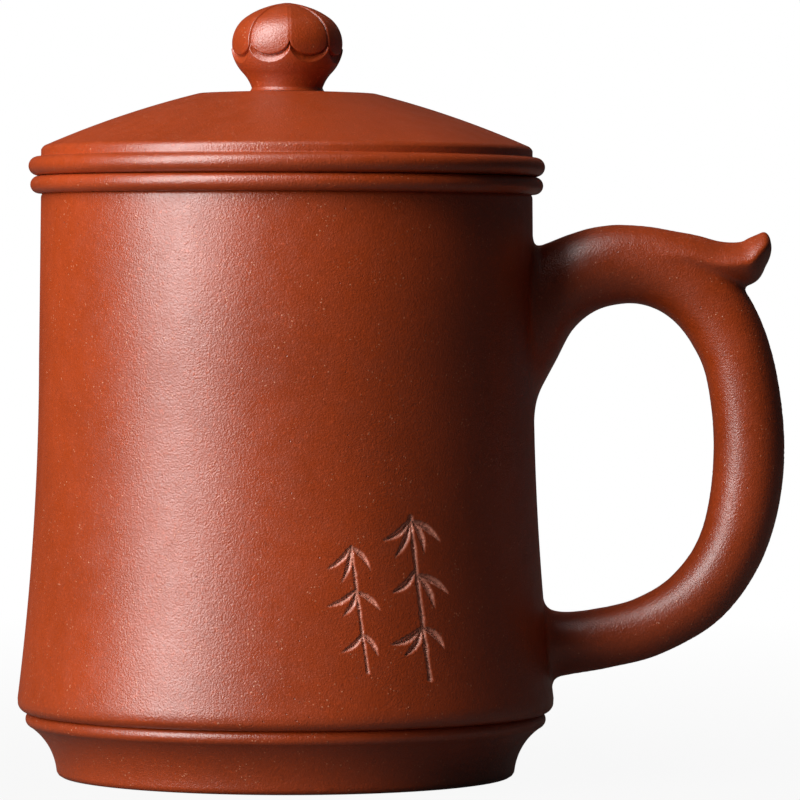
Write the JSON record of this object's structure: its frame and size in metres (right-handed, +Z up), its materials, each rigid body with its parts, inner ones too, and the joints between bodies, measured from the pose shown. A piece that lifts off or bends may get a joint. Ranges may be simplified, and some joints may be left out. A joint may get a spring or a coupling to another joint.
{
  "type": "lidded tea mug with infuser",
  "caption": "Unglazed red clay tea mug with a loop handle and thumb spur, a lift-out pierced infuser hung from its lip, and a domed lid with a bud knob.",
  "frame": {"origin": "on the surface the mug stands on, at the middle of its foot, under the axis that mug, infuser and lid share", "axes": "+Z up along the mug's axis, +X towards the handle, XZ the mirror plane"},
  "size_m": [0.1287, 0.09, 0.1296],
  "materials": {
    "mug_clay": "unglazed fine red clay, satin from burnishing",
    "infuser_clay": "unglazed fine red clay, matte inside",
    "lid_clay": "unglazed fine red clay, satin from burnishing"
  },
  "bodies": {
    "mug": {"mug_wall": "mug_clay", "mug_base": "mug_clay", "handle": "mug_clay"},
    "infuser": {"infuser_rim": "infuser_clay", "infuser_wall": "infuser_clay", "infuser_heel": "infuser_clay", "infuser_strainer": "infuser_clay"},
    "lid": {"lid_cover": "lid_clay", "lid_locating_ring": "lid_clay", "lid_knob": "lid_clay"}
  },
  "joints": [
    {"name": "infuser_lift", "type": "slide", "parent": "mug", "child": "infuser", "axis": [0, 0, 1], "range_m": [0, 0.08]},
    {"name": "lid_lift", "type": "slide", "parent": "infuser", "child": "lid", "axis": [0, 0, 1], "range_m": [0, 0.045]}
  ]
}
